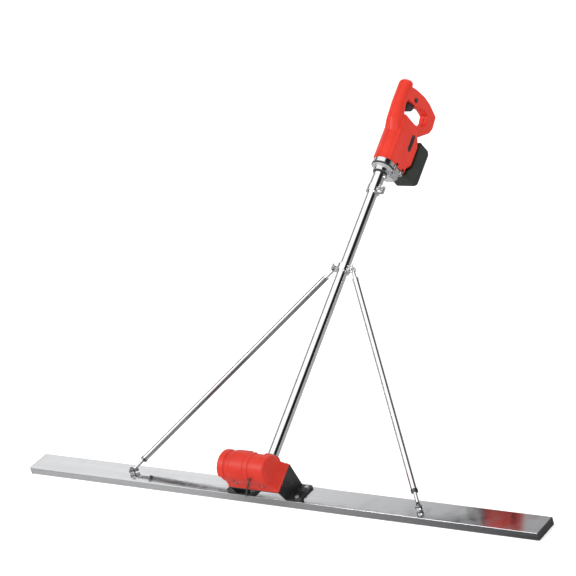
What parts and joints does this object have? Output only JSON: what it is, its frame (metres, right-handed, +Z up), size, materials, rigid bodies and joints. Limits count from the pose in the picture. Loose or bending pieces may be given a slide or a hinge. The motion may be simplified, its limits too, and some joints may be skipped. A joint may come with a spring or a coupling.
{
  "type": "power screed",
  "caption": "Battery-powered concrete screed: long aluminium straight-edge, vibrating exciter in a red cover, leaning pole with two braces, drive head with D-grip.",
  "frame": {"origin": "centre of the board's underside", "axes": "+X along the board, +Y towards the operator (the pole leans this way), +Z up"},
  "size_m": [2, 1.3532, 0.9307],
  "materials": {
    "battery_green": "dark moulded plastic",
    "bearing_steel": "ground steel",
    "black_plastic": "moulded plastic",
    "board_aluminium": "polished extrusion",
    "bracket_black": "satin black paint",
    "cast_case": "polished casting",
    "cast_housing": "as cast",
    "cell_wrap": "shrink wrap",
    "chrome_tube": "polished stainless tube",
    "circuit_green": "coated board",
    "gear_steel": "machined steel",
    "motor_iron": "laminated iron",
    "red_shell": "semi-gloss moulded plastic",
    "rubber_black": "rubber",
    "zinc_fastener": "zinc plated"
  },
  "bodies": {
    "base": {"board_extrusion": "board_aluminium", "end_caps": "black_plastic", "clinch_nuts": "zinc_fastener", "base_bracket": "bracket_black", "bracket_bolts": "zinc_fastener", "vibrator_cover": "red_shell", "cover_screws": "zinc_fastener", "gearbox_housing": "cast_housing", "bearing_block": "cast_housing", "gearbox_bolts": "zinc_fastener", "gearbox_bearings": "bearing_steel", "pole_tube": "chrome_tube", "shaft_bushings": "black_plastic", "foot_fasteners": "zinc_fastener"},
    "drive_shaft": {"drive_shaft": "gear_steel", "bevel_pinion": "gear_steel"},
    "exciter": {"exciter_shaft": "gear_steel", "eccentric_weights": "gear_steel", "bevel_gear": "gear_steel"},
    "stay_clamp": {"stay_clamp_front": "chrome_tube", "stay_clamp_rear": "chrome_tube", "stay_clamp_screws": "zinc_fastener", "stay_pivot_bolts": "zinc_fastener"},
    "left_wing_nut": {"stay_wing_nut_left": "zinc_fastener"},
    "right_wing_nut": {"stay_wing_nut_right": "zinc_fastener"},
    "left_stay": {"left_stay_head": "chrome_tube", "left_stay_tube": "chrome_tube", "left_stay_collar": "chrome_tube"},
    "left_rod": {"left_stay_rod": "chrome_tube"},
    "right_stay": {"right_stay_head": "chrome_tube", "right_stay_tube": "chrome_tube", "right_stay_collar": "chrome_tube"},
    "right_rod": {"right_stay_rod": "chrome_tube"},
    "head": {"pole_sleeve": "chrome_tube", "sleeve_screws": "zinc_fastener", "seal_rings": "rubber_black", "gear_case": "cast_case", "gear_case_bolts": "zinc_fastener", "bearing_plate": "cast_housing", "head_bearings": "bearing_steel", "stator": "motor_iron", "motor_bracket": "cast_housing", "housing_left": "red_shell", "housing_right": "red_shell", "housing_screws": "zinc_fastener", "vent_grilles": "black_plastic", "switch_body": "black_plastic", "controller_board": "circuit_green", "terminal_block": "black_plastic", "trigger_spring": "zinc_fastener"},
    "sleeve_nut": {"sleeve_wing_nut": "zinc_fastener"},
    "output_gear": {"output_gear": "gear_steel"},
    "motor_rotor": {"motor_shaft": "gear_steel", "rotor_core": "motor_iron", "cooling_fan": "black_plastic"},
    "trigger": {"trigger": "black_plastic"},
    "lock_button": {"lock_button": "black_plastic"},
    "battery": {"battery_case": "battery_green", "battery_cells": "cell_wrap"},
    "battery_latch": {"battery_latch": "black_plastic"}
  },
  "joints": [
    {"name": "drive_shaft_spin", "type": "hinge", "parent": "base", "child": "drive_shaft", "pos_m": [0.05, -0.04655, 0.12413], "axis": [0, 0.848, 0.5299], "continuous": true},
    {"name": "exciter_spin", "type": "hinge", "parent": "base", "child": "exciter", "pos_m": [0.05, -0.04655, 0.12413], "axis": [1, 0, 0], "continuous": true},
    {"name": "head_slide", "type": "slide", "parent": "base", "child": "head", "axis": [0, 0.848, 0.5299], "range_m": [0, 0.05]},
    {"name": "output_gear_spin", "type": "hinge", "parent": "head", "child": "output_gear", "pos_m": [0.05, 0.90835, 0.72082], "axis": [0, 0.848, 0.5299], "continuous": true},
    {"name": "motor_spin", "type": "hinge", "parent": "head", "child": "motor_rotor", "pos_m": [0.05, 0.92626, 0.67895], "axis": [0, 0.848, 0.5299], "continuous": true},
    {"name": "trigger_pull", "type": "slide", "parent": "head", "child": "trigger", "axis": [0, 0.848, 0.5299], "range_m": [0, 0.006], "deforming": ["trigger_spring"]},
    {"name": "lock_button_press", "type": "slide", "parent": "head", "child": "lock_button", "axis": [-1, 0, 0], "range_m": [0, 0.0025]},
    {"name": "battery_slide", "type": "slide", "parent": "head", "child": "battery", "axis": [0, -0.848, -0.5299], "range_m": [0, 0.08]},
    {"name": "battery_latch_press", "type": "slide", "parent": "battery", "child": "battery_latch", "axis": [0, -0.848, -0.5299], "range_m": [0, 0.003]},
    {"name": "sleeve_nut_turn", "type": "hinge", "parent": "head", "child": "sleeve_nut", "pos_m": [0.0815, 0.82625, 0.6786], "axis": [0, -0.5299, 0.848], "continuous": true},
    {"name": "clamp_slide", "type": "slide", "parent": "base", "child": "stay_clamp", "axis": [0, 0.848, 0.5299], "range_m": [-0.02, 0.02]},
    {"name": "left_stay_swing", "type": "hinge", "parent": "stay_clamp", "child": "left_stay", "pos_m": [0.015, 0.57506, 0.51256], "axis": [-0.1674, -0.5224, 0.8361], "range_deg": [-0.8, 0.8]},
    {"name": "left_stay_extend", "type": "slide", "parent": "left_stay", "child": "left_rod", "axis": [-0.6131, -0.609, -0.5033], "range_m": [-0.01576, 0.01576]},
    {"name": "left_wing_nut_turn", "type": "hinge", "parent": "stay_clamp", "child": "left_wing_nut", "pos_m": [0.015, 0.57506, 0.51256], "axis": [-0.1674, -0.5224, 0.8361], "continuous": true},
    {"name": "right_stay_swing", "type": "hinge", "parent": "stay_clamp", "child": "right_stay", "pos_m": [0.085, 0.57506, 0.51256], "axis": [0.2008, -0.5191, 0.8308], "range_deg": [-0.76, 0.76]},
    {"name": "right_stay_extend", "type": "slide", "parent": "right_stay", "child": "right_rod", "axis": [0.5408, -0.6484, -0.5358], "range_m": [-0.01678, 0.01678]},
    {"name": "right_wing_nut_turn", "type": "hinge", "parent": "stay_clamp", "child": "right_wing_nut", "pos_m": [0.085, 0.57506, 0.51256], "axis": [0.2008, -0.5191, 0.8308], "continuous": true}
  ],
  "couplings": [
    {"joint": "exciter_spin", "follows": "drive_shaft_spin", "ratio": 1},
    {"joint": "output_gear_spin", "follows": "drive_shaft_spin", "ratio": 1},
    {"joint": "motor_spin", "follows": "drive_shaft_spin", "ratio": -2},
    {"joint": "left_stay_swing", "follows": "clamp_slide", "rad_per_m": 0.65398},
    {"joint": "left_stay_extend", "follows": "clamp_slide", "ratio": 0.78312},
    {"joint": "right_stay_swing", "follows": "clamp_slide", "rad_per_m": -0.61813},
    {"joint": "right_stay_extend", "follows": "clamp_slide", "ratio": 0.83381}
  ]
}
